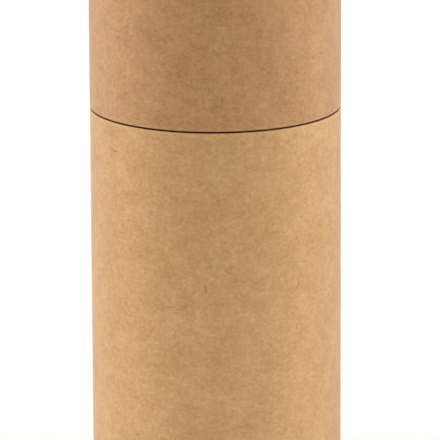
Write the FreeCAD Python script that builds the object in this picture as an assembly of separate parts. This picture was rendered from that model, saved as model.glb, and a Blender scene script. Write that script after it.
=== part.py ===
"""Cardboard food tube with a flush push-on lid, standing upright on its base.

The tube is made of five paperboard pieces, all of them round about the Z axis:

    body_tube   outer shell of the body, its lower end rolled inwards
    base_disc   flat board that lies on the roll and closes the body
    neck_tube   inner tube that stands on the base disc and rises out of the body
    lid_tube    outer shell of the lid, its upper end rolled inwards
    lid_disc    flat board glued up against the roll of the lid

The lid slides down over the neck until its rim meets the rim of the body, so the two
shells lie flush and only a fine seam shows between them.

Sizes are in millimetres. +Z is up, and the origin is the centre of the base, on the
surface that the tube stands on.
"""

import FreeCAD
import Part

import math
import os

# Overall sizes
OUTER_DIAMETER = 83.0  # outside of body and lid, which are flush
BODY_HEIGHT = 133.8  # from the surface it stands on to the rim of the body
LID_HEIGHT = 65.6  # from the rim of the lid to its top
NECK_REVEAL = 30.0  # how far the neck rises above the rim of the body

# Board thicknesses
SHELL_WALL = 1.5  # body and lid tubes
NECK_WALL = 1.3  # inner tube
DISC_THICKNESS = 2.0  # both end discs

# Clearances
SEAM_GAP = 0.6  # between the rims of body and lid when the tube is closed
NECK_GAP = 0.25  # radial: glue film inside the body, sliding fit inside the lid
DISC_GAP = 0.1  # radial: glue film round each disc

# Rolled ends
ROLL_DEPTH = 3.0  # from the end of a shell to the disc behind it
ROLL_SLIT = 0.2  # inside the roll, between the wall and its turned-back end
ROLL_FLAT = 0.8  # flat ring on the nose of the roll

# Eased edges
RIM_ROUNDING = 0.3  # outer edge of each shell, along the seam
LIP_ROUNDING = 0.4  # both edges of the neck's mouth
DISC_ROUNDING = 0.2  # both edges of each disc

# Radii worked out from the sizes above
OUTER_RADIUS = OUTER_DIAMETER / 2
SHELL_BORE_RADIUS = OUTER_RADIUS - SHELL_WALL
NECK_RADIUS = SHELL_BORE_RADIUS - NECK_GAP
NECK_BORE_RADIUS = NECK_RADIUS - NECK_WALL
DISC_RADIUS = SHELL_BORE_RADIUS - DISC_GAP
FLANGE_RADIUS = SHELL_BORE_RADIUS - ROLL_SLIT
ROLL_BORE_RADIUS = FLANGE_RADIUS - SHELL_WALL
ROLL_ROUNDING = (OUTER_RADIUS - ROLL_BORE_RADIUS - ROLL_FLAT) / 2

# Heights worked out from the sizes above
NECK_FOOT_Z = ROLL_DEPTH + DISC_THICKNESS
NECK_TOP_Z = BODY_HEIGHT + NECK_REVEAL
LID_RIM_Z = BODY_HEIGHT + SEAM_GAP
LID_TOP_Z = LID_RIM_Z + LID_HEIGHT
LID_DISC_Z = LID_TOP_Z - ROLL_DEPTH - DISC_THICKNESS

AXIS_FOOT = FreeCAD.Vector(0, 0, 0)
UP = FreeCAD.Vector(0, 0, 1)
FULL_TURN = 360


def rounded_corner(before, corner, after, rounding):
    """Start, middle and end of the arc that rounds off one square corner."""
    back = (before - corner).normalize() * rounding
    ahead = (after - corner).normalize() * rounding
    middle = corner + (back + ahead) * (1 - math.sqrt(0.5))
    return corner + back, middle, corner + ahead


def outline(corners):
    """Closed outline in the XZ plane from (radius, height, rounding) corners in order.

    Neighbouring sides meet at right angles, and a corner with no rounding stays sharp.
    """
    points = [FreeCAD.Vector(radius, 0, height) for radius, height, _ in corners]
    roundings = [rounding for _, _, rounding in corners]
    previous = points[-1:] + points[:-1]
    following = points[1:] + points[:1]
    arcs = [rounded_corner(*place) for place in zip(previous, points, following, roundings)]
    edges = []
    for (start, middle, end), (next_start, _, _) in zip(arcs, arcs[1:] + arcs[:1]):
        if start != end:
            edges.append(Part.Arc(start, middle, end).toShape())
        edges.append(Part.LineSegment(end, next_start).toShape())
    return Part.Wire(edges)


def turned(corners):
    """Solid of revolution about Z whose half section has these corners."""
    return Part.Face(outline(corners)).revolve(AXIS_FOOT, UP, FULL_TURN)


def rolled_shell(rim_z, end_z):
    """Outer tube with its cut rim at rim_z and its rolled end at end_z.

    At the rolled end the wall turns inwards and back on itself, with a fine slit left
    inside the fold. The turned-back end is the seat of the disc.
    """
    inward = math.copysign(1, rim_z - end_z)
    fold_z = end_z + inward * SHELL_WALL
    seat_z = end_z + inward * ROLL_DEPTH
    return turned(
        [
            (OUTER_RADIUS, end_z, ROLL_ROUNDING),
            (OUTER_RADIUS, rim_z, RIM_ROUNDING),
            (SHELL_BORE_RADIUS, rim_z, 0),
            (SHELL_BORE_RADIUS, fold_z, 0),
            (FLANGE_RADIUS, fold_z, 0),
            (FLANGE_RADIUS, seat_z, 0),
            (ROLL_BORE_RADIUS, seat_z, 0),
            (ROLL_BORE_RADIUS, end_z, ROLL_ROUNDING),
        ]
    )


def end_disc(lower_z):
    """Flat round board with slightly eased edges."""
    upper_z = lower_z + DISC_THICKNESS
    return turned(
        [
            (0, lower_z, 0),
            (DISC_RADIUS, lower_z, DISC_ROUNDING),
            (DISC_RADIUS, upper_z, DISC_ROUNDING),
            (0, upper_z, 0),
        ]
    )


def neck():
    """Inner tube from the base disc up to its mouth, where both edges are eased."""
    return turned(
        [
            (NECK_RADIUS, NECK_FOOT_Z, 0),
            (NECK_RADIUS, NECK_TOP_Z, LIP_ROUNDING),
            (NECK_BORE_RADIUS, NECK_TOP_Z, LIP_ROUNDING),
            (NECK_BORE_RADIUS, NECK_FOOT_Z, 0),
        ]
    )


def main():
    pieces = {
        "body_tube": rolled_shell(rim_z=BODY_HEIGHT, end_z=0),
        "base_disc": end_disc(lower_z=ROLL_DEPTH),
        "neck_tube": neck(),
        "lid_tube": rolled_shell(rim_z=LID_RIM_Z, end_z=LID_TOP_Z),
        "lid_disc": end_disc(lower_z=LID_DISC_Z),
    }
    os.makedirs("parts", exist_ok=True)
    for name, shape in pieces.items():
        shape.exportStep(f"parts/{name}.step")
        cm3 = shape.Volume / 1000
        print(f"{name}: {cm3:.1f} cm3, {shape.ShapeType}, valid {shape.isValid()}")


main()
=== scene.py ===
"""Papers and boards of a cardboard food tube, built around its fixed frame.

Each piece is turned from the section that its frame gives, with the overlap of the outer
paper, the pleats of the rolled ends, the plies of the cut edges and the helical joints of
the wound neck in the mesh itself. Lengths are in metres, and angles are in radians.
"""

import math
from typing import NamedTuple

import bmesh
import bpy
import numpy as np
from bpy.props import FloatProperty, FloatVectorProperty, PointerProperty
from mathutils import Matrix, Vector


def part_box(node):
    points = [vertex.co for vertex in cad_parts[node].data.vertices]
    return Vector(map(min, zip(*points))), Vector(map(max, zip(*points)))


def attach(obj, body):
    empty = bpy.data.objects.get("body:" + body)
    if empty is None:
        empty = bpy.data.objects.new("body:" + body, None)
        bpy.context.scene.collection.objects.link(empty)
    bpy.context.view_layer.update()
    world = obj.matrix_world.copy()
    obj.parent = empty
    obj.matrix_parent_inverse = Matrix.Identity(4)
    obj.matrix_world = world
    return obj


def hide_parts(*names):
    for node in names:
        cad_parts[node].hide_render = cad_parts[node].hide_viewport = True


bl_info = {
    "name": "Cardboard food tube",
    "version": (1, 0, 0),
    "blender": (4, 5, 0),
    "location": "3D View > Sidebar > Food Tube",
    "description": "Builds the papers and boards of a cardboard food tube around its frame",
    "category": "Add Mesh",
}

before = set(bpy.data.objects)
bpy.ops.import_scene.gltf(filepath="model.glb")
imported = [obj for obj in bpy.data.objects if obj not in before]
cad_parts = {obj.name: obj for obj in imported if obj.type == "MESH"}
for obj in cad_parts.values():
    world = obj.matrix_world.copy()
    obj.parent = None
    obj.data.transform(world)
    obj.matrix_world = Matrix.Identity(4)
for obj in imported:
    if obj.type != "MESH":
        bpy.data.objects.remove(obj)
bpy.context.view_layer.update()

MM = 0.001
QUARTER_TURN = math.pi / 2
FULL_TURN = 2 * math.pi
TOUCH = 0.001 * MM  # places nearer than this are the same place

# The finishes of a piece's surface, in the order of its material slots.
PAPER, EDGE, INSIDE = range(3)

# Spacing of the points along a run of each finish: at its ends, and at most in between.
RUN_SPACING = {PAPER: (0.15 * MM, 4 * MM), EDGE: (0.05 * MM, 0.05 * MM), INSIDE: (1 * MM, 8 * MM)}
RUN_GROWTH = 1.6  # from each space to the next one
ARC_STEPS = 8  # in a rounded corner
SHARP_ANGLE = math.radians(35)  # least turn between two faces that shows as an edge
WEAR_REACH = 0.8 * MM  # how far the wear goes from a place that is rubbed

# Columns of points round each kind of piece.
SHELL_COLUMNS = 540
NECK_COLUMNS = 400
BOARD_COLUMNS = 240


# ---- user settings

WHOLE = {"min": 0, "max": 1}  # range of a colour or a share


class FoodTubeSizes(bpy.types.PropertyGroup):
    """Fine sizes of the paper and board, which the frame leaves out."""

    wrap_thickness: FloatProperty(
        name="Wrap thickness",
        description="Thickness of the outer paper, which is the step at its overlap",
        default=0.1 * MM,
        unit="LENGTH",
    )
    lap_width: FloatProperty(
        name="Overlap width",
        description="Width of the strip where the outer paper overlaps itself",
        default=8 * MM,
        unit="LENGTH",
    )
    lap_ramp: FloatProperty(
        name="Overlap ramp",
        description="Width over which the upper paper comes down off the lower one",
        default=3 * MM,
        unit="LENGTH",
    )
    body_lap_angle: FloatProperty(
        name="Body overlap angle",
        description="Where the body's overlap lies, counted from +X towards +Y",
        default=math.radians(104),
        subtype="ANGLE",
    )
    lid_lap_angle: FloatProperty(
        name="Lid overlap angle",
        description="Where the lid's overlap lies, counted from +X towards +Y",
        default=math.radians(68),
        subtype="ANGLE",
    )
    ply_thickness: FloatProperty(
        name="Ply thickness",
        description="Thickness of one ply of the wound board, as it shows on a cut edge",
        default=0.25 * MM,
        unit="LENGTH",
    )
    ply_relief: FloatProperty(
        name="Ply relief",
        description="Depth of the fine grooves between the plies of a cut edge",
        default=0.04 * MM,
        unit="LENGTH",
    )
    pleat_depth: FloatProperty(
        name="Pleat depth",
        description="Depth of the fine pleats inside a rolled end",
        default=0.06 * MM,
        unit="LENGTH",
    )
    out_of_round: FloatProperty(
        name="Out of round",
        description="How far a wound tube strays inwards from a true circle",
        default=0.05 * MM,
        unit="LENGTH",
    )
    joint_depth: FloatProperty(
        name="Joint depth",
        description="Depth of the groove where two turns of the neck's ply meet",
        default=0.14 * MM,
        unit="LENGTH",
    )
    joint_width: FloatProperty(
        name="Joint width",
        description="Half width of that groove",
        default=0.26 * MM,
        unit="LENGTH",
    )
    joint_angle: FloatProperty(
        name="Joint angle",
        description="Where that groove starts at the neck's foot, counted from +X towards +Y",
        default=math.radians(217),
        subtype="ANGLE",
    )
    winding_angle: FloatProperty(
        name="Winding angle",
        description="Slope of the neck's wound plies against the level",
        default=math.radians(34),
        subtype="ANGLE",
    )
    board_hollow: FloatProperty(
        name="Board hollow",
        description="How far each end board is drawn in at its middle",
        default=0.15 * MM,
        unit="LENGTH",
    )


class FoodTubeColours(bpy.types.PropertyGroup):
    """Colours and strengths of the papers' patterns."""

    body_tone: FloatVectorProperty(
        name="Body paper",
        description="Colour of the body's kraft paper",
        default=(0.576, 0.325, 0.129),
        subtype="COLOR",
        **WHOLE,
    )
    lid_tone: FloatVectorProperty(
        name="Lid paper",
        description="Colour of the lid's kraft paper, a shade darker than the body's",
        default=(0.472, 0.2455, 0.093),
        subtype="COLOR",
        **WHOLE,
    )
    neck_tone: FloatVectorProperty(
        name="Neck paper",
        description="Colour of the wound paper of the neck and the inner walls",
        default=(0.50, 0.27, 0.112),
        subtype="COLOR",
        **WHOLE,
    )
    board_tone: FloatVectorProperty(
        name="End boards",
        description="Colour of the flat boards that close the ends",
        default=(0.50, 0.28, 0.125),
        subtype="COLOR",
        **WHOLE,
    )
    edge_tone: FloatVectorProperty(
        name="Cut edges",
        description="Colour of the board where it is cut through",
        default=(0.34, 0.145, 0.046),
        subtype="COLOR",
        **WHOLE,
    )
    # painted shade of the gap of the seam, on the neck and on the inner part of the body's rim
    seam_shade_tone: FloatVectorProperty(
        name="Glue line",
        description="Colour of the dried glue round the neck, where it comes out of the body",
        default=(0.23, 0.042, 0.004),
        subtype="COLOR",
        **WHOLE,
    )
    fibre_tone: FloatVectorProperty(
        name="Dark fibres",
        description="Colour of the stray bark fibres in the kraft paper",
        default=(0.20, 0.09, 0.035),
        subtype="COLOR",
        **WHOLE,
    )
    mottling: FloatProperty(
        name="Mottling",
        description="Strength of the light and dark mottling of the paper",
        default=1.0,
        min=0,
        max=3,
    )
    fuzz: FloatProperty(
        name="Fuzz",
        description="Strength of the pale bloom that the paper's fuzz gives at a slant",
        default=0.25,
        subtype="FACTOR",
        **WHOLE,
    )
    roughness: FloatProperty(
        name="Roughness",
        description="Mean roughness of the paper's surface",
        default=0.68,
        subtype="FACTOR",
        **WHOLE,
    )


class FoodTubeStage(bpy.types.PropertyGroup):
    """Camera, lamps and floor."""

    lens: FloatProperty(
        name="Lens",
        description="Focal length of the long lens, in millimetres",
        default=429.9,
    )
    camera_distance: FloatProperty(
        name="Camera distance",
        description="Level distance from the tube's axis to the camera",
        default=1.6887,
        unit="LENGTH",
    )
    camera_rise: FloatProperty(
        name="Camera rise",
        description="Height of the camera above the seam",
        default=0.3832,
        unit="LENGTH",
    )
    camera_pitch: FloatProperty(
        name="Camera pitch",
        description="How far the camera looks down",
        default=math.radians(14.045),
        subtype="ANGLE",
    )
    camera_yaw: FloatProperty(
        name="Camera yaw",
        description="How far the camera is turned to the right of the tube's axis",
        default=math.radians(0.0455),
        subtype="ANGLE",
    )
    camera_roll: FloatProperty(
        name="Camera roll",
        description="How far the camera leans about its own axis",
        default=math.radians(-0.2756),
        subtype="ANGLE",
    )
    left_power: FloatProperty(
        name="Left softbox",
        description="Power of the left softbox",
        default=20.5,
        unit="POWER",
    )
    right_power: FloatProperty(
        name="Right softbox",
        description="Power of the right softbox",
        default=17.9,
        unit="POWER",
    )
    front_power: FloatProperty(
        name="Front softbox",
        description="Power of the softbox over the camera",
        default=2.4,
        unit="POWER",
    )
    top_power: FloatProperty(
        name="Top softbox",
        description="Power of the softbox over the tube",
        default=3.5,
        unit="POWER",
    )
    foot_power: FloatProperty(
        name="Foot fill",
        description="Power of the low fill in front of the tube's foot",
        default=0.17,
        unit="POWER",
    )
    back_power: FloatProperty(
        name="Back softbox",
        description="Power of the softbox behind the tube",
        default=5.6,
        unit="POWER",
    )
    ambient: FloatProperty(
        name="Ambient light",
        description="Strength of the even light of the room",
        default=0.05,
        min=0,
    )
    near_lift: FloatProperty(
        name="Near floor lift",
        description="How much the floor near the tube is brightened for the camera alone",
        default=0.285,
        min=0,
    )
    far_lift: FloatProperty(
        name="Far floor lift",
        description="How much the floor far from the tube is brightened for the camera alone",
        default=0.465,
        min=0,
    )
    outer_lift: FloatProperty(
        name="Outer floor lift",
        description="How much the floor beyond the lamps is brightened for the camera alone",
        default=1.0,
        min=0,
    )


# ---- sections


class Corner(NamedTuple):
    """One square corner of a half section, and the finish of it and of the run after it."""

    radius: float
    height: float
    rounding: float
    corner_finish: int
    run_finish: int


class Section(NamedTuple):
    """Points round a closed half section. Each finish is that of the run to the next point."""

    radius: np.ndarray
    height: np.ndarray
    normal_out: np.ndarray
    normal_up: np.ndarray
    path: np.ndarray
    finish: np.ndarray


def flat_ring(node, height):
    """Inner and outer radius of the flat ring that a node has at this height."""
    places = [vertex.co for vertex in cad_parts[node].data.vertices]
    radii = [math.hypot(place.x, place.y) for place in places if abs(place.z - height) < TOUCH]
    return min(radii), max(radii)


def corner_points(before, corner, after):
    """Points of the quarter circle that rounds off a corner, or the corner alone."""
    place = np.array(corner[:2])
    if corner.rounding <= 0:
        return place[None]
    back = np.array(before[:2]) - place
    ahead = np.array(after[:2]) - place
    back *= corner.rounding / np.linalg.norm(back)
    ahead *= corner.rounding / np.linalg.norm(ahead)
    turn = np.linspace(0, QUARTER_TURN, ARC_STEPS + 1)[:, None]
    return place + back + ahead - ahead * np.cos(turn) - back * np.sin(turn)


def run_points(start, end, finish):
    """Points strictly between two ends, close together near both of them."""
    step, coarsest = RUN_SPACING[finish]
    length = np.linalg.norm(end - start)
    reach = [0.0]
    while reach[-1] < length / 2:
        reach.append(reach[-1] + step)
        step = min(step * RUN_GROWTH, coarsest)
    half = np.array(reach) / (2 * reach[-1])
    shares = np.concatenate([half, 1 - half[-2::-1]])[1:-1, None]
    return start + shares * (end - start)


def trace(corners):
    """The Section that goes round these corners, with its outer side on the right."""
    befores = corners[-1:] + corners[:-1]
    afters = corners[1:] + corners[:1]
    turns = [corner_points(*three) for three in zip(befores, corners, afters)]
    points = []
    finish = []
    for corner, turn, following in zip(corners, turns, turns[1:] + turns[:1]):
        run = run_points(turn[-1], following[0], corner.run_finish)
        points += [*turn, *run]
        finish += [corner.corner_finish] * (len(turn) - 1)
        finish += [corner.run_finish] * (len(run) + 1)
    points = np.array(points)
    finish = np.array(finish)
    ahead = np.roll(points, -1, axis=0)
    if np.sum(points[:, 0] * ahead[:, 1] - points[:, 1] * ahead[:, 0]) < 0:
        points = points[::-1]
        finish = np.roll(finish[::-1], -1)
        ahead = np.roll(points, -1, axis=0)
    along = ahead - np.roll(points, 1, axis=0)
    along /= np.linalg.norm(along, axis=1)[:, None]
    path = np.cumsum(np.linalg.norm(ahead - points, axis=1))
    return Section(
        radius=points[:, 0],
        height=points[:, 1],
        normal_out=along[:, 1],
        normal_up=-along[:, 0],
        path=np.concatenate([[0.0], path]),
        finish=finish,
    )


# ---- turned meshes


def smooth_step(share):
    """0 below 0 and 1 above 1, with an even bend between."""
    share = np.clip(share, 0, 1)
    return share * share * (3 - 2 * share)


def columns(girth, count, extra):
    """Places round the girth: an even row of them and the extra ones."""
    even = np.linspace(0, girth, count, endpoint=False)
    return np.unique(np.concatenate([even, np.mod(extra, girth)]))


def wear_along(section, rubbed):
    """How rubbed the surface is at each point, from the places that things rub against."""
    wear = np.zeros(len(section.radius))
    for radius, height in rubbed:
        distance = np.hypot(section.radius - radius, section.height - height)
        wear += np.exp(-((distance / WEAR_REACH) ** 2))
    return np.clip(wear, 0, 1)


def turned_mesh(name, section, arcs, girth, angles, depth, inset, sheet, rubbed, painted_shade=0):
    """Mesh of a section carried round the axis.

    arcs are the columns' places round the girth, and angles their directions at each point
    of the section. depth is how far each vertex lies under the true surface, and inset how
    far it is moved towards the axis. sheet gives the place on the flat paper of each corner
    of a face, from its arc, its path and its place. rubbed lists the places that are rubbed
    pale, and the last argument is how much painted shade darkens each vertex, such as the
    shade in the grooves of the neck's joints.
    """
    count, points = angles.shape
    radius = section.radius - depth * section.normal_out - inset
    height = section.height - depth * section.normal_up
    place = np.stack([radius * np.cos(angles), radius * np.sin(angles), height], axis=2)

    column = np.arange(count)[:, None]
    point = np.arange(points)[None, :]
    next_column = (column + 1) % count
    next_point = (point + 1) % points
    around = [
        (column, point),
        (next_column, point),
        (next_column, next_point),
        (column, next_point),
    ]
    faces = np.stack([c * points + p for c, p in around], axis=2)
    on_axis = (section.radius + np.roll(section.radius, -1)) < TOUCH
    kept = np.broadcast_to(~on_axis, faces.shape[:2])

    mesh = bpy.data.meshes.new(name)
    mesh.from_pydata(place.reshape(-1, 3).tolist(), [], faces[kept].tolist())
    finish = np.broadcast_to(section.finish, faces.shape[:2])[kept]
    mesh.polygons.foreach_set("material_index", finish.astype(np.int32))

    far_arc = np.append(arcs[1:], girth)[:, None]
    near_arc = arcs[:, None]
    near_path = section.path[None, :-1]
    far_path = section.path[None, 1:]
    corners = [
        (near_arc, near_path),
        (far_arc, near_path),
        (far_arc, far_path),
        (near_arc, far_path),
    ]
    flat = [sheet(arc, path, place[c, p]) for (arc, path), (c, p) in zip(corners, around)]
    layer = mesh.uv_layers.new(name="Sheet")
    layer.uv.foreach_set("vector", np.stack(flat, axis=2)[kept].astype(np.float32).ravel())

    wear = mesh.attributes.new("WearAndShade", "FLOAT", "POINT")
    # rubbing makes the wear attribute rise, and painted shade makes it fall below nought
    wear_and_shade = np.broadcast_to(wear_along(section, rubbed) - painted_shade, angles.shape)
    wear.data.foreach_set("value", wear_and_shade.astype(np.float32).ravel())
    weld_axis(mesh)
    return mesh


def weld_axis(mesh):
    """Joins the vertices that meet on the axis, and shades the mesh smooth up to its edges."""
    shape = bmesh.new()
    shape.from_mesh(mesh)
    on_axis = [vertex for vertex in shape.verts if vertex.co.xy.length < TOUCH]
    bmesh.ops.remove_doubles(shape, verts=on_axis, dist=TOUCH)
    shape.to_mesh(mesh)
    shape.free()
    mesh.shade_smooth()
    mesh.set_sharp_from_angle(angle=SHARP_ANGLE)


def wrapped_sheet(slope):
    """Place on the flat paper of a wall that is wound at this slope against the level."""

    def place_on_paper(arc, path, _place):
        along = arc * math.cos(slope) + path * math.sin(slope)
        across = path * math.cos(slope) - arc * math.sin(slope)
        return np.stack(np.broadcast_arrays(along, across), axis=2)

    return place_on_paper


def level_sheet(_arc, _path, place):
    """Place on a flat board, seen along the axis."""
    return place[..., :2]


def add_piece(mesh, body, replaced, materials):
    """Puts a finished mesh into the scene in place of its CAD node."""
    piece = bpy.data.objects.new(mesh.name, mesh)
    bpy.context.scene.collection.objects.link(piece)
    for material in materials:
        mesh.materials.append(material)
    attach(piece, body)
    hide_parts(replaced)


# ---- fine shapes

LAP_SIDES = (0.4 * MM, 0.04 * MM)  # columns just before the cut edge of the overlap
PLEATS = 118  # round the inner side of a roll
PLEAT_SPACING = ((2.2, 7, 0), (1.7, 11, 1))  # ripples that crowd and spread the pleats
PLEAT_STRENGTH = (0.4, 13, 2)  # ripple that deepens and flattens them
PLEAT_SHARPNESS = 3
PLEAT_REACH = 4 * MM  # how far the pleats go from the nose of the roll
LEVEL = 0.9  # least share of a cut edge's normal that points up or down
PLY_STRENGTH = (0.3, 5)  # ripple that deepens and flattens the grooves between the plies
PLY_SHIFT = 2.1  # from where one groove's ripple starts to where the next one's does
PLY_SHARPNESS = 0.5
OVAL_SWING, WAVE_SWING = 0.35, 0.15  # half of each one's share in how far a wall strays
BODY_WAVES, LID_WAVES = 0.4, 2.9  # turn of each wall's waves, in radians
WAVE_SLOPE = 21  # change of the waves' phase, in radians for each metre up
JOINT_SIDES = (-3, -2, -1.2, -0.6, 0, 0.6, 1.2, 2, 3)  # columns over a joint, in half widths
JOINT_SHADE = 2.5  # how dark the painted shade makes a joint's groove, against how pale rubbing makes an edge


def lap_depth(section, arcs, sizes):
    """Depth under the overlap of the outer paper, which has one sharp and one eased side."""
    under = smooth_step((arcs - sizes.lap_width) / sizes.lap_ramp)[:, None]
    faces_out = np.clip(section.normal_out, 0, 1)
    return sizes.wrap_thickness * under * faces_out


def ripple(turn, swing, count, start=0):
    """A wave round the axis: how far it swings, how many times, and where it starts."""
    return swing * np.sin(count * turn + start)


def uneven(turn, swing, count, start=0):
    """Strength that a ripple makes uneven, and that reaches 1 at its highest."""
    return 1 - swing + ripple(turn, swing, count, start)


def pleat_depth(section, turn, nose_z, sizes):
    """Depth of the uneven pleats that the board takes on the inner side of a roll."""
    phase = sum((ripple(turn, *each) for each in PLEAT_SPACING), PLEATS * turn)
    pleat = (0.5 - 0.5 * np.cos(phase)) ** PLEAT_SHARPNESS * uneven(turn, *PLEAT_STRENGTH)
    near_roll = np.abs(section.height - nose_z) < PLEAT_REACH
    faces_in = np.clip(-section.normal_out, 0, 1) * near_roll
    return sizes.pleat_depth * pleat * faces_in


def ply_depth(section, turn, rim, sizes):
    """Depth of the grooves between the plies on a cut edge that spans the rim's radii."""
    inner, outer = rim
    across = (outer - section.radius) / sizes.ply_thickness
    groove = 1 - np.abs(np.sin(math.pi * across)) ** PLY_SHARPNESS
    strength = uneven(turn, *PLY_STRENGTH, PLY_SHIFT * np.floor(across))
    faces_up = np.abs(section.normal_up) > LEVEL
    on_edge = faces_up & (section.radius > inner) & (section.radius < outer)
    return sizes.ply_relief * groove * strength * on_edge


def stray(turn, height, sizes, phase):
    """How far a wound tube's wall strays inwards from its true circle."""
    oval = 1 + np.cos(2 * turn + phase)
    wave = 1 + np.cos(3 * turn - WAVE_SLOPE * height + 2 * phase)
    return sizes.out_of_round * (OVAL_SWING * oval + WAVE_SWING * wave)


# ---- patterns


class Cloud(NamedTuple):
    """A cloudy pattern about one half, with grains of this many millimetres.

    Its swing is how far it takes what it drives, from the lowest to the highest. The numbers
    of its stretch multiply the place, so that a small one draws the pattern out that way.
    Its relief is its share in the height of the surface.
    """

    grain: float
    detail: float
    swing: float = 1.0
    stretch: tuple = ()
    relief: float = 0.0


class Scatter(NamedTuple):
    """Stray fibres, in millimetres: at most one in each cell, in a share of the cells."""

    cell: float
    length: float
    width: float
    share: float
    strength: float = 1.0
    relief: float = 0.0


class Paper(NamedTuple):
    """What makes one piece's paper its own.

    The seeds move its patterns, and mottling and flecks are shares of the usual strength.
    splinters_at moves the few dark splinters round and up the paper, in millimetres.
    The last field is the lowest and highest place of a band of painted shade, where the gap of the
    seam shades the paper, if there is one.
    """

    seed: int
    drift_shade_seed: int = 0
    band_shade_seed: int = 0
    mottling: float = 1.0
    flecks: float = 1.0
    splinters_at: tuple = (0.0, 0.0)
    glued: tuple = ()


# the drift and band seeds of the body and the lid place painted shade on the front of the tube
BODY_PAPER = Paper(1, drift_shade_seed=20, band_shade_seed=9, mottling=0.745, splinters_at=(231.1, 468.7))
LID_PAPER = Paper(2, drift_shade_seed=37, band_shade_seed=55, mottling=0.92, splinters_at=(-652.6, 399.2))
INNER_PAPER = Paper(3)
BOARD_PAPER = Paper(4, mottling=1.2, flecks=1.4)

# Lightness of the kraft paper, from its widest pattern to its finest. The two widest are partly tone
# that differs at random and partly painted shade: their seeds and swings were fitted so that the
# paper is darker where the front of the tube lies in shade, in its middle and at its right side.
DRIFT_AND_SHADE = Cloud(grain=110.0, detail=0.0, swing=0.37)
BANDS_AND_SHADE = Cloud(grain=25.0, detail=0.0, swing=-0.25, stretch=(1.0, 0.08, 1.0))
CLOUDS = Cloud(grain=12.0, detail=1.0, swing=0.5)
BLOTCHES = Cloud(grain=5.0, detail=1.0, swing=0.6, relief=0.9)
MOTTLES = Cloud(grain=2.0, detail=1.0, swing=0.55, relief=0.35)
GRAIN = Cloud(grain=0.95, detail=0.0, swing=0.52, stretch=(0.7, 1.0, 1.0), relief=0.5)
STREAKS = Cloud(grain=0.6, detail=2.0, swing=0.15, stretch=(1.0, 0.04, 1.0))
FORMATION = (CLOUDS, BLOTCHES, MOTTLES, GRAIN, STREAKS)  # as strong as the mottling

# The paper's own fibres: two scatters that are paler than the rest, and two that are darker.
PALE_STRANDS = (Scatter(1.4, 1.9, 0.3, 0.9), Scatter(1.9, 2.4, 0.3, 0.9))
DARK_STRANDS = (Scatter(1.6, 2.1, 0.3, 0.9), Scatter(1.1, 1.5, 0.28, 0.9))
STRAND_SWING = 0.09

# Fibres that stand out from the rest.
SPLINTERS = Scatter(cell=30.0, length=3.4, width=0.42, share=0.22, strength=0.55)
BARK = Scatter(cell=9.0, length=2.4, width=0.22, share=0.3, strength=0.42)
SHORT_BARK = Scatter(cell=3.1, length=1.3, width=0.18, share=0.5, strength=0.14)
DOTS = Scatter(cell=4.3, length=0.4, width=0.25, share=0.35, strength=0.20)
PALE_FIBRES = Scatter(cell=2.3, length=1.7, width=0.16, share=0.6, strength=0.25, relief=0.15)

# Colour and surface of the kraft paper.
SEED_STEP = Vector((37.0, 91.0, 0.0))  # from one seed's place on the sheet to the next
HUES = Cloud(grain=8.0, detail=2.0)  # patches of yellower and pinker paper
PAPER_SHADES = (0.8, 1.2)  # darkest and palest shade of its tone
MIDDLE_SHADE = 0.5  # where the paper lies between the two, before its patterns
PALE_FIBRE_SHADE = 1.25
DARKENING = (1.0, 1.32, 2.1)  # how fast red, green and blue fall as paper gets darker
PINKNESS = (0.0, -0.03, 0.08)  # change of red, green and blue as paper gets pinker
WEAR_AND_SHADE_STRENGTH = 0.2  # how much paler paper is where it is rubbed, and how much darker where painted shade lies in a joint
PAPER_RELIEF = 0.007 * MM
RAISED = (GRAIN, MOTTLES, PALE_FIBRES, BLOTCHES)  # patterns that have a relief
PAPER_GLOSS = 0.3
ROUGHNESS_SWING = 0.06
FUZZ_SPREAD = 0.5

# Painted shade of the seam, and board that is cut through.
SEAM_SHADE_FADE = 0.15 * MM  # over which the seam's painted shade fades out at its edge
SEAM_SHADE_WANDER = Cloud(grain=6.0, detail=3.0, swing=1.2 * SEAM_SHADE_FADE)
SEAM_SHADE_SHARE = 0.5  # of the body's rim, from the inside, that has the seam's painted shade
EDGE_SEED = 5
PLY_WANDER = Cloud(grain=3.0, detail=2.0, swing=0.12)
EDGE_FUZZ = Cloud(grain=0.15, detail=3.0, swing=1.2)
EDGE_SHADES = (0.6, 1.3)
EDGE_DARKENING = -0.2
GLUE_LINE = 0.5  # height of a ply's wave where the glue beside its joint has faded out
EDGE_ROUGHNESS = (0.2, 0.75)  # swing and lowest
EDGE_RELIEF = 0.04 * MM
EDGE_GLOSS = 0.0


# ---- materials


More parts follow.
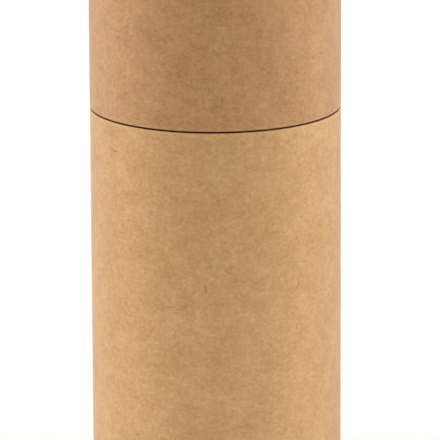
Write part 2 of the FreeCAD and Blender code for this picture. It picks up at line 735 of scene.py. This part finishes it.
class Shader:
    """The nodes of a new material or world, with short calls to make more of them."""

    def __init__(self, name, kind="materials", surface="Principled BSDF"):
        self.owner = getattr(bpy.data, kind).new(name)
        self.owner.use_nodes = True
        self.tree = self.owner.node_tree
        self.surface = self.tree.nodes[surface]

    def node(self, kind, inputs, **settings):
        """A node with these settings, whose inputs are set or linked by name or number."""
        made = self.tree.nodes.new("ShaderNode" + kind)
        for name, value in settings.items():
            setattr(made, name, value)
        self.feed(made, inputs)
        return made

    def feed(self, node, inputs):
        """Sets or links a node's inputs."""
        for name, value in inputs.items():
            if isinstance(value, bpy.types.NodeSocket):
                self.tree.links.new(value, node.inputs[name])
            else:
                node.inputs[name].default_value = value

    def math(self, operation, *values):
        """Result of a Math node."""
        return self.node("Math", dict(enumerate(values)), operation=operation).outputs[0]

    def vector(self, operation, *values):
        """Result of a Vector Math node."""
        return self.node("VectorMath", dict(enumerate(values)), operation=operation).outputs[0]

    def scaled(self, place, scale):
        """A vector times a number."""
        return self.node("VectorMath", {0: place, "Scale": scale}, operation="SCALE").outputs[0]

    def total(self, *values):
        """Sum of several numbers."""
        result = values[0]
        for value in values[1:]:
            result = self.math("ADD", result, value)
        return result

    def weighted(self, *parts):
        """Sum of several numbers, each times its weight."""
        return self.total(*(self.math("MULTIPLY", value, weight) for value, weight in parts))

    def band(self, value, low, high):
        """0 below low and 1 above high, with an even bend between. High may be the lower."""
        inputs = {"Value": value, "From Min": low, "From Max": high}
        return self.node("MapRange", inputs, interpolation_type="SMOOTHSTEP").outputs[0]

    def swing(self, value, amount):
        """A pattern about one half, as a swing about nought."""
        return self.math("MULTIPLY_ADD", value, amount, -amount / 2)

    def mixed(self, share, first, second):
        """First colour where share is 0, second where it is 1."""
        made = self.node("Mix", {}, data_type="RGBA")
        colours = [socket for socket in made.inputs if socket.type == "RGBA"]
        for socket, value in zip(colours, (first, second)):
            if isinstance(value, bpy.types.NodeSocket):
                self.tree.links.new(value, socket)
            else:
                socket.default_value = (*value, 1)
        self.feed(made, {0: share})
        return next(socket for socket in made.outputs if socket.type == "RGBA")

    def clouds(self, place, cloud):
        """A Cloud, at a place in millimetres."""
        if cloud.stretch:
            place = self.vector("MULTIPLY", place, cloud.stretch)
        inputs = {"Vector": place, "Scale": 1 / cloud.grain, "Detail": cloud.detail}
        return self.node("TexNoise", inputs, noise_dimensions="2D").outputs[0]

    def fibres(self, place, scatter):
        """A Scatter, at a place in millimetres: 1 on its fibres, 0 beside them.

        Each fibre has its own direction, bend and length.
        """
        cell, length, width, share, *_ = scatter
        shortest, spread = 0.2 * length, 0.3 * length
        taper = 0.1 * length
        core = 0.2 * width
        scaled = self.scaled(place, 1 / cell)
        inputs = {"Vector": scaled, "Scale": 1.0, "Randomness": 0.8}
        cells = self.node("TexVoronoi", inputs, voronoi_dimensions="2D")
        offset = self.scaled(self.vector("SUBTRACT", scaled, cells.outputs["Position"]), cell)
        chance = self.node("SeparateXYZ", {0: cells.outputs["Color"]}).outputs
        angle = self.math("MULTIPLY", chance[0], FULL_TURN)
        inputs = {"Vector": offset, "Angle": angle}
        turned = self.node("VectorRotate", inputs, rotation_type="Z_AXIS")
        along, across, _ = self.node("SeparateXYZ", {0: turned.outputs[0]}).outputs
        bend = self.math("MULTIPLY", self.swing(chance[1], 1.0), self.math("POWER", along, 2.0))
        beside = self.math("ABSOLUTE", self.math("MULTIPLY_ADD", bend, 1 / length, across))
        reach = self.math("MULTIPLY_ADD", chance[1], spread, shortest)
        past_end = self.math("SUBTRACT", self.math("ABSOLUTE", along), reach)
        inside = self.band(past_end, taper, -taper)
        near = self.band(beside, width, core)
        present = self.math("LESS_THAN", chance[2], share)
        return self.math("MULTIPLY", self.math("MULTIPLY", inside, near), present)


def shade(tone, amount):
    """A tone made lighter or darker: darker is also redder and fuller, as paper is."""
    return tuple(part * amount**power for part, power in zip(tone, DARKENING))


def pink(tone, amount):
    """A tone made pinker, or yellower where the amount is negative."""
    return tuple(part * (1 + change * amount) for part, change in zip(tone, PINKNESS))


def sheet_place(shader, seed):
    """Place on the flat paper in millimetres, moved so that each seed has its own pattern."""
    flat = shader.node("UVMap", {}, uv_map="Sheet").outputs[0]
    return shader.vector("ADD", shader.scaled(flat, 1 / MM), SEED_STEP * seed)


def seam_shade_band(shader, paper, heights, tone):
    """Paper with a band of painted shade round it, between two heights on the piece, where the gap of
    the seam shades it.
    """
    low, high = heights
    place = shader.node("TexCoord", {}).outputs["Object"]
    height = shader.node("SeparateXYZ", {0: place}).outputs[2]
    above = shader.band(height, low - SEAM_SHADE_FADE, low)
    below = shader.band(height, high + SEAM_SHADE_FADE, high)
    return shader.mixed(shader.math("MULTIPLY", above, below), paper, tone)


def kraft_paper(name, tone, paper_kind, colours):
    """Uncoated kraft: cloudy formation, fine mottling, stray fibres and a soft dull sheen."""
    shader = Shader(name)
    place = sheet_place(shader, paper_kind.seed)
    made = {kind: shader.clouds(place, kind) for kind in FORMATION}
    made[PALE_FIBRES] = shader.fibres(place, PALE_FIBRES)
    # the two widest patterns, partly random tone and partly painted shade where their seeds put it
    drift_and_shade = shader.clouds(sheet_place(shader, paper_kind.drift_shade_seed), DRIFT_AND_SHADE)
    bands_and_shade = shader.clouds(sheet_place(shader, paper_kind.band_shade_seed), BANDS_AND_SHADE)
    # the wear attribute is above nought where the paper is rubbed pale, and below it where painted
    # shade darkens a joint
    rubbed = shader.node("Attribute", {}, attribute_name="WearAndShade").outputs["Fac"]

    amount = colours.mottling * paper_kind.mottling
    lightness = shader.total(
        shader.swing(drift_and_shade, DRIFT_AND_SHADE.swing),
        shader.swing(bands_and_shade, BANDS_AND_SHADE.swing),
        *(shader.swing(made[kind], kind.swing * amount) for kind in FORMATION),
        shader.math("MULTIPLY", strands(shader, place), STRAND_SWING * amount),
        shader.math("MULTIPLY", rubbed, WEAR_AND_SHADE_STRENGTH),
        MIDDLE_SHADE,
    )
    yellower, pinker = (
        shader.mixed(lightness, *(shade(pink(tone, hue), level) for level in PAPER_SHADES))
        for hue in (-1, 1)
    )
    paper = shader.mixed(shader.clouds(place, HUES), yellower, pinker)
    pale = shader.math("MULTIPLY", made[PALE_FIBRES], PALE_FIBRES.strength)
    paper = shader.mixed(pale, paper, shade(tone, PALE_FIBRE_SHADE))
    paper = shader.mixed(dark_fibres(shader, place, paper_kind), paper, colours.fibre_tone)
    # a band of painted shade where the gap of the seam shades the neck
    if paper_kind.glued:
        paper = seam_shade_band(shader, paper, paper_kind.glued, colours.seam_shade_tone)

    relief = shader.weighted(*((made[kind], kind.relief) for kind in RAISED))
    bump = shader.node("Bump", {"Height": relief, "Distance": PAPER_RELIEF})
    smoothest = colours.roughness - ROUGHNESS_SWING / 2
    rough = shader.math("MULTIPLY_ADD", made[MOTTLES], ROUGHNESS_SWING, smoothest)
    shader.feed(
        shader.surface,
        {
            "Base Color": paper,
            "Roughness": rough,
            "Normal": bump.outputs[0],
            "Specular IOR Level": PAPER_GLOSS,
            "Sheen Weight": colours.fuzz,
            "Sheen Roughness": FUZZ_SPREAD,
        },
    )
    return shader.owner


def strands(shader, place):
    """The paper's own fibres: above nought where they are pale, below it where dark."""
    pale, dark = (
        shader.total(*(shader.fibres(place, scatter) for scatter in scatters))
        for scatters in (PALE_STRANDS, DARK_STRANDS)
    )
    return shader.math("SUBTRACT", pale, dark)


def dark_fibres(shader, place, paper_kind):
    """How dark the stray fibres make the paper, with its few splinters at their own place."""
    moved = (*paper_kind.splinters_at, 0.0)
    splinter_place = shader.vector("ADD", sheet_place(shader, 0), moved)
    parts = ((splinter_place, SPLINTERS), (place, BARK), (place, SHORT_BARK), (place, DOTS))
    flecks = paper_kind.flecks
    return shader.weighted(*((shader.fibres(at, kind), kind.strength * flecks) for at, kind in parts))


def seam_shade_ring(shader, board, radius, tone):
    """Cut board with painted shade on its inner part, out to about this radius, where the lid shades
    the rim in the gap of the seam.
    """
    place = shader.node("TexCoord", {}).outputs["Object"]
    level = shader.vector("MULTIPLY", place, (1.0, 1.0, 0.0))
    distance = shader.node("VectorMath", {0: level}, operation="LENGTH").outputs["Value"]
    ragged = shader.clouds(shader.scaled(level, 1 / MM), SEAM_SHADE_WANDER)
    reach = shader.math("ADD", distance, shader.swing(ragged, SEAM_SHADE_WANDER.swing))
    return shader.mixed(shader.band(reach, radius + SEAM_SHADE_FADE, radius), board, tone)


def cut_edge(name, settings, seam_shade_radius=0.0):
    """Board where it is cut through: light and dark plies with dark glue lines between."""
    colours = settings.food_tube_colours
    shader = Shader(name)
    place = sheet_place(shader, EDGE_SEED)
    across = shader.node("SeparateXYZ", {0: place}).outputs[1]
    wander = shader.swing(shader.clouds(place, PLY_WANDER), PLY_WANDER.swing)
    per_ply = MM / settings.food_tube_sizes.ply_thickness
    plies = shader.math("MULTIPLY", shader.math("ADD", across, wander), per_ply)
    wave = shader.math("SINE", shader.math("MULTIPLY", plies, math.pi))
    from_joint = shader.math("ABSOLUTE", wave)
    fuzz = shader.clouds(place, EDGE_FUZZ)
    torn = shader.swing(fuzz, EDGE_FUZZ.swing)
    lightness = shader.total(torn, shader.band(from_joint, 0.0, GLUE_LINE), EDGE_DARKENING)
    shades = (shade(colours.edge_tone, level) for level in EDGE_SHADES)
    board = shader.mixed(lightness, *shades)
    # painted shade on the inner part of a rim that the gap of the seam shades
    if seam_shade_radius:
        board = seam_shade_ring(shader, board, seam_shade_radius, colours.seam_shade_tone)
    bump = shader.node("Bump", {"Height": fuzz, "Distance": EDGE_RELIEF})
    shader.feed(
        shader.surface,
        {
            "Base Color": board,
            "Roughness": shader.math("MULTIPLY_ADD", fuzz, *EDGE_ROUGHNESS),
            "Normal": bump.outputs[0],
            "Specular IOR Level": EDGE_GLOSS,
        },
    )
    return shader.owner


def edge_material(settings):
    """Cut board, which the pieces share."""
    return bpy.data.materials.get("cut_board") or cut_edge("cut_board", settings)


def inner_material(settings):
    """Kraft paper of the inner walls, which the pieces share."""
    name = "kraft_inner_paper"
    colours = settings.food_tube_colours
    shared = bpy.data.materials.get(name)
    return shared or kraft_paper(name, colours.neck_tone, INNER_PAPER, colours)


# ---- pieces


def shell_corners(node, rim_z, roll_z, seat_z):
    """Corners of a rolled shell's section, as its frame has them."""
    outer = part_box(node)[1].x
    rim_in, rim_out = flat_ring(node, rim_z)
    nose_in, nose_out = flat_ring(node, roll_z)
    seat_in, seat_out = flat_ring(node, seat_z)
    fold_z = roll_z + math.copysign(outer - rim_in, rim_z - roll_z)
    return [
        Corner(outer, roll_z, outer - nose_out, PAPER, PAPER),
        Corner(outer, rim_z, outer - rim_out, PAPER, EDGE),
        Corner(rim_in, rim_z, 0, EDGE, INSIDE),
        Corner(rim_in, fold_z, 0, INSIDE, INSIDE),
        Corner(seat_out, fold_z, 0, INSIDE, INSIDE),
        Corner(seat_out, seat_z, 0, EDGE, EDGE),
        Corner(seat_in, seat_z, 0, PAPER, PAPER),
        Corner(seat_in, roll_z, nose_in - seat_in, PAPER, PAPER),
    ]


def shell_mesh(name, node, ends, lap_angle, phase, sizes):
    """Outer tube: overlapped paper outside, pleated roll at one end, cut plies at the other.

    ends are the heights of its rim, of its roll and of the seat that the roll makes, and
    phase turns the waves of its wall.
    """
    rim_z, roll_z, seat_z = ends
    corners = shell_corners(node, rim_z, roll_z, seat_z)
    section = trace(corners)
    outer = corners[0].radius
    girth = FULL_TURN * outer
    arcs = columns(girth, SHELL_COLUMNS, [girth - side for side in LAP_SIDES])
    turn = arcs[:, None] / outer + lap_angle
    angles = np.broadcast_to(turn, (len(arcs), len(section.radius)))
    depth = (
        lap_depth(section, arcs, sizes)
        + pleat_depth(section, turn, roll_z, sizes)
        + ply_depth(section, turn, flat_ring(node, rim_z), sizes)
    )
    inset = stray(turn, section.height, sizes, phase)
    rubbed = [(outer, rim_z), (corners[-1].radius + corners[-1].rounding, roll_z)]
    return turned_mesh(name, section, arcs, girth, angles, depth, inset, wrapped_sheet(0.0), rubbed)


class FOODTUBE_OT_body_shell(bpy.types.Operator):
    """Builds the outer tube of the body, with its roll at the foot"""

    bl_idname = "food_tube.body_shell"
    bl_label = "Body shell"

    def execute(self, context):
        sizes = context.scene.food_tube_sizes
        colours = context.scene.food_tube_colours
        low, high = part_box("body_tube")
        ends = (high.z, low.z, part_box("base_disc")[0].z)
        lap = sizes.body_lap_angle
        mesh = shell_mesh("body_shell", "body_tube", ends, lap, BODY_WAVES, sizes)
        paper = kraft_paper("kraft_body_paper", colours.body_tone, BODY_PAPER, colours)
        # the inner part of the rim lies deep in the gap of the seam and gets painted shade
        rim_in, rim_out = flat_ring("body_tube", high.z)
        glued_to = rim_in + SEAM_SHADE_SHARE * (rim_out - rim_in)
        rim = cut_edge("glued_rim", context.scene, glued_to)
        finishes = [paper, rim, inner_material(context.scene)]
        add_piece(mesh, "body", "body_tube", finishes)
        return {"FINISHED"}


class FOODTUBE_OT_lid_shell(bpy.types.Operator):
    """Builds the outer tube of the lid, with its roll at the top"""

    bl_idname = "food_tube.lid_shell"
    bl_label = "Lid shell"

    def execute(self, context):
        sizes = context.scene.food_tube_sizes
        colours = context.scene.food_tube_colours
        low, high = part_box("lid_tube")
        ends = (low.z, high.z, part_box("lid_disc")[1].z)
        lap = sizes.lid_lap_angle
        mesh = shell_mesh("lid_shell", "lid_tube", ends, lap, LID_WAVES, sizes)
        paper = kraft_paper("kraft_lid_paper", colours.lid_tone, LID_PAPER, colours)
        finishes = [paper, edge_material(context.scene), inner_material(context.scene)]
        add_piece(mesh, "lid", "lid_tube", finishes)
        return {"FINISHED"}


class FOODTUBE_OT_neck(bpy.types.Operator):
    """Builds the wound neck, with the helical joints of its outer and inner ply"""

    bl_idname = "food_tube.neck"
    bl_label = "Neck"

    def execute(self, context):
        sizes = context.scene.food_tube_sizes
        low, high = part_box("neck_tube")
        foot = flat_ring("neck_tube", low.z)
        mouth = flat_ring("neck_tube", high.z)
        section = trace(
            [
                Corner(foot[1], low.z, 0, PAPER, PAPER),
                Corner(foot[1], high.z, foot[1] - mouth[1], EDGE, EDGE),
                Corner(foot[0], high.z, mouth[0] - foot[0], EDGE, INSIDE),
                Corner(foot[0], low.z, 0, EDGE, EDGE),
            ]
        )
        girth = FULL_TURN * foot[1]
        sides = sizes.joint_width * np.array(JOINT_SIDES)
        arcs = columns(girth, NECK_COLUMNS, np.concatenate([sides, girth / 2 + sides]))
        rise = section.height - low.z
        turn_per_rise = 1 / (foot[1] * math.tan(sizes.winding_angle))
        angles = sizes.joint_angle + arcs[:, None] / foot[1] - rise[None, :] * turn_per_rise
        joint = joint_groove(section, arcs, girth, sizes)
        depth = sizes.joint_depth * joint + ply_depth(section, angles, foot, sizes)
        sheet = wrapped_sheet(sizes.winding_angle)
        rubbed = [(foot[1], high.z)]
        # painted shade in the grooves of the joints
        painted_shade = JOINT_SHADE * joint
        mesh = turned_mesh(
            "wound_neck", section, arcs, girth, angles, depth, 0, sheet, rubbed, painted_shade
        )
        colours = context.scene.food_tube_colours
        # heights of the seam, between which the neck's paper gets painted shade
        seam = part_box("body_tube")[1].z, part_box("lid_tube")[0].z
        kind = INNER_PAPER._replace(glued=seam)
        paper = kraft_paper("kraft_neck_paper", colours.neck_tone, kind, colours)
        finishes = [paper, edge_material(context.scene), inner_material(context.scene)]
        add_piece(mesh, "body", "neck_tube", finishes)
        return {"FINISHED"}


def joint_groove(section, arcs, girth, sizes):
    """1 in the groove where two turns of a ply meet, 0 elsewhere: one outside, one inside."""
    outside = np.minimum(arcs, girth - arcs)
    inside = np.abs(arcs - girth / 2)
    faces_out = np.clip(section.normal_out, 0, 1)
    faces_in = np.clip(-section.normal_out, 0, 1)
    groove_outside = np.exp(-((outside / sizes.joint_width) ** 2))[:, None] * faces_out
    groove_inside = np.exp(-((inside / sizes.joint_width) ** 2))[:, None] * faces_in
    return groove_outside + groove_inside


class FOODTUBE_OT_end_boards(bpy.types.Operator):
    """Builds the two flat boards that close the body and the lid"""

    bl_idname = "food_tube.end_boards"
    bl_label = "End boards"

    def execute(self, context):
        scene = context.scene
        colours = scene.food_tube_colours
        board = kraft_paper("kraft_end_board", colours.board_tone, BOARD_PAPER, colours)
        boards = [("base_board", "base_disc", "body"), ("lid_board", "lid_disc", "lid")]
        for name, node, body in boards:
            mesh = board_mesh(name, node, scene.food_tube_sizes)
            add_piece(mesh, body, node, [board, edge_material(scene)])
        return {"FINISHED"}


def board_mesh(name, node, sizes):
    """Round flat board with eased edges, drawn in a little at its middle."""
    low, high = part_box(node)
    rounding = high.x - flat_ring(node, high.z)[1]
    section = trace(
        [
            Corner(0, low.z, 0, PAPER, PAPER),
            Corner(high.x, low.z, rounding, PAPER, EDGE),
            Corner(high.x, high.z, rounding, PAPER, PAPER),
            Corner(0, high.z, 0, PAPER, PAPER),
        ]
    )
    girth = FULL_TURN * high.x
    arcs = columns(girth, BOARD_COLUMNS, [])
    angles = np.broadcast_to(arcs[:, None] / high.x, (len(arcs), len(section.radius)))
    middle = np.cos(QUARTER_TURN * section.radius / high.x) ** 2
    depth = np.broadcast_to(sizes.board_hollow * middle * np.abs(section.normal_up), angles.shape)
    return turned_mesh(name, section, arcs, girth, angles, depth, 0, level_sheet, [])


# ---- stage

WHITE = (1, 1, 1, 1)
FLOOR_HALF = 6.0
FLOOR_GRAIN = {"Scale": 400.0, "Detail": 3.0}
FLOOR_TONES = ((0.86, 0.86, 0.86), (0.92, 0.92, 0.92))  # darkest and palest grain of the floor
FLOOR_ROUGHNESS = 0.9
NEAR_TO_FAR = (0.1, 0.85)  # from the tube, where the floor turns from near to far
FAR_TO_OUTER = (0.8, 1.2)  # and from far to outer
VIEW_REACH = 100

# Place of each lamp, and its width and height.
LEFT_SOFTBOX = ((-1.25, 0.0, 0.5), (1.55, 1.2))
RIGHT_SOFTBOX = ((1.25, -0.08, 0.5), (1.3, 1.2))
FRONT_SOFTBOX = ((0.2, -2.3, 1.7), (1.4, 0.8))
TOP_SOFTBOX = ((0, -0.4, 1.4), (1.0, 1.0))
FOOT_FILL = ((0, -0.22, 0.003), (0.3, 0.16))
BACK_SOFTBOX = ((0, 2.3, 1.2), (1.4, 1.0))
FOOT_FRONT = (0, -0.1, 0.15)  # what the foot fill faces; the others face the seam


def add_softbox(name, place, size, target, power):
    """Soft lamp of this width and height that the camera doesn't see."""
    lamp = bpy.data.lights.new(name, "AREA")
    lamp.shape = "RECTANGLE"
    lamp.size, lamp.size_y = size
    lamp.energy = power
    holder = bpy.data.objects.new(name, lamp)
    holder.location = place
    holder.rotation_euler = (Vector(target) - Vector(place)).to_track_quat("-Z", "Y").to_euler()
    holder.visible_camera = False
    bpy.context.scene.collection.objects.link(holder)


def seen_ray(shader):
    """1 for rays that come from the camera or from gloss or glass, 0 for the light itself."""
    rays = shader.node("LightPath", {}).outputs
    seen = rays["Is Camera Ray"]
    for other in ("Is Glossy Ray", "Is Transmission Ray"):
        seen = shader.math("MAXIMUM", seen, rays[other])
    return seen


def room_light(strength):
    """Even light of the room, with plain white behind everything."""
    shader = Shader("white_room", "worlds", "Background")
    shader.feed(shader.surface, {"Color": WHITE, "Strength": strength})
    backdrop = shader.node("Background", {"Color": WHITE})
    inputs = {0: seen_ray(shader), 1: shader.surface.outputs[0], 2: backdrop.outputs[0]}
    mix = shader.node("MixShader", inputs)
    shader.feed(shader.tree.nodes["World Output"], {"Surface": mix.outputs[0]})
    bpy.context.scene.world = shader.owner


def floor_material(stage):
    """Matte white table top with a faint grain, lifted to white for the camera alone."""
    shader = Shader("pale_floor")
    place = shader.node("TexCoord", {}).outputs["Object"]
    grain = shader.node("TexNoise", {"Vector": place, **FLOOR_GRAIN}).outputs[0]
    tone = shader.mixed(grain, *FLOOR_TONES)
    shader.feed(shader.surface, {"Base Color": tone, "Roughness": FLOOR_ROUGHNESS})
    distance = shader.node("VectorMath", {0: place}, operation="LENGTH").outputs["Value"]
    far = shader.band(distance, *NEAR_TO_FAR)
    outer = shader.band(distance, *FAR_TO_OUTER)
    lift = shader.math("MULTIPLY_ADD", far, stage.far_lift - stage.near_lift, stage.near_lift)
    lift = shader.math("MULTIPLY_ADD", outer, stage.outer_lift - stage.far_lift, lift)
    strength = shader.math("MULTIPLY", seen_ray(shader), lift)
    glow = shader.node("Emission", {"Color": WHITE, "Strength": strength})
    both = shader.node("AddShader", {0: shader.surface.outputs[0], 1: glow.outputs[0]})
    shader.feed(shader.tree.nodes["Material Output"], {"Surface": both.outputs[0]})
    return shader.owner


def add_floor(stage):
    """Large plain floor under the tube."""
    mesh = bpy.data.meshes.new("floor")
    ways = ((-1, -1), (1, -1), (1, 1), (-1, 1))
    rim = [(FLOOR_HALF * x, FLOOR_HALF * y, 0) for x, y in ways]
    mesh.from_pydata(rim, [], [(0, 1, 2, 3)])
    mesh.materials.append(floor_material(stage))
    floor = bpy.data.objects.new("floor", mesh)
    bpy.context.scene.collection.objects.link(floor)


def add_camera(stage, seam_z):
    """Camera with a long lens, a little above the tube."""
    lens = bpy.data.cameras.new("camera")
    lens.lens = stage.lens
    lens.clip_end = VIEW_REACH
    camera = bpy.data.objects.new("camera", lens)
    place = Matrix.Translation((0, -stage.camera_distance, seam_z + stage.camera_rise))
    yaw = Matrix.Rotation(-stage.camera_yaw, 4, "Z")
    pitch = Matrix.Rotation(QUARTER_TURN - stage.camera_pitch, 4, "X")
    roll = Matrix.Rotation(stage.camera_roll, 4, "Z")
    camera.matrix_world = place @ yaw @ pitch @ roll
    bpy.context.scene.collection.objects.link(camera)
    bpy.context.scene.camera = camera


class FOODTUBE_OT_stage(bpy.types.Operator):
    """Sets up the floor, the softboxes, the room light and the camera"""

    bl_idname = "food_tube.stage"
    bl_label = "Stage"

    def execute(self, context):
        stage = context.scene.food_tube_stage
        seam_z = (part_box("body_tube")[1].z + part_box("lid_tube")[0].z) / 2
        seam = (0, 0, seam_z)
        add_softbox("left_softbox", *LEFT_SOFTBOX, seam, stage.left_power)
        add_softbox("right_softbox", *RIGHT_SOFTBOX, seam, stage.right_power)
        add_softbox("front_softbox", *FRONT_SOFTBOX, seam, stage.front_power)
        add_softbox("top_softbox", *TOP_SOFTBOX, seam, stage.top_power)
        add_softbox("foot_fill", *FOOT_FILL, FOOT_FRONT, stage.foot_power)
        add_softbox("back_softbox", *BACK_SOFTBOX, seam, stage.back_power)
        room_light(stage.ambient)
        add_floor(stage)
        add_camera(stage, seam_z)
        context.scene.view_settings.view_transform = "Standard"
        return {"FINISHED"}


# ---- add-on


class FOODTUBE_PT_panel(bpy.types.Panel):
    """Lists the tube's settings and the steps that build it"""

    bl_label = "Food Tube"
    bl_idname = "FOODTUBE_PT_panel"
    bl_space_type = "VIEW_3D"
    bl_region_type = "UI"
    bl_category = "Food Tube"

    def draw(self, context):
        scene = context.scene
        for group in (scene.food_tube_sizes, scene.food_tube_colours, scene.food_tube_stage):
            box = self.layout.box()
            for name in group.__annotations__:
                box.prop(group, name)
        for operator in OPERATORS:
            self.layout.operator(operator.bl_idname)


OPERATORS = (
    FOODTUBE_OT_body_shell,
    FOODTUBE_OT_lid_shell,
    FOODTUBE_OT_neck,
    FOODTUBE_OT_end_boards,
    FOODTUBE_OT_stage,
)
CLASSES = (FoodTubeSizes, FoodTubeColours, FoodTubeStage, *OPERATORS, FOODTUBE_PT_panel)


def register():
    for kind in CLASSES:
        bpy.utils.register_class(kind)
    bpy.types.Scene.food_tube_sizes = PointerProperty(type=FoodTubeSizes)
    bpy.types.Scene.food_tube_colours = PointerProperty(type=FoodTubeColours)
    bpy.types.Scene.food_tube_stage = PointerProperty(type=FoodTubeStage)


def unregister():
    del bpy.types.Scene.food_tube_stage
    del bpy.types.Scene.food_tube_colours
    del bpy.types.Scene.food_tube_sizes
    for kind in reversed(CLASSES):
        bpy.utils.unregister_class(kind)


def main():
    register()
    bpy.ops.food_tube.body_shell()
    bpy.ops.food_tube.lid_shell()
    bpy.ops.food_tube.neck()
    bpy.ops.food_tube.end_boards()
    bpy.ops.food_tube.stage()


if __name__ == "__main__":
    main()
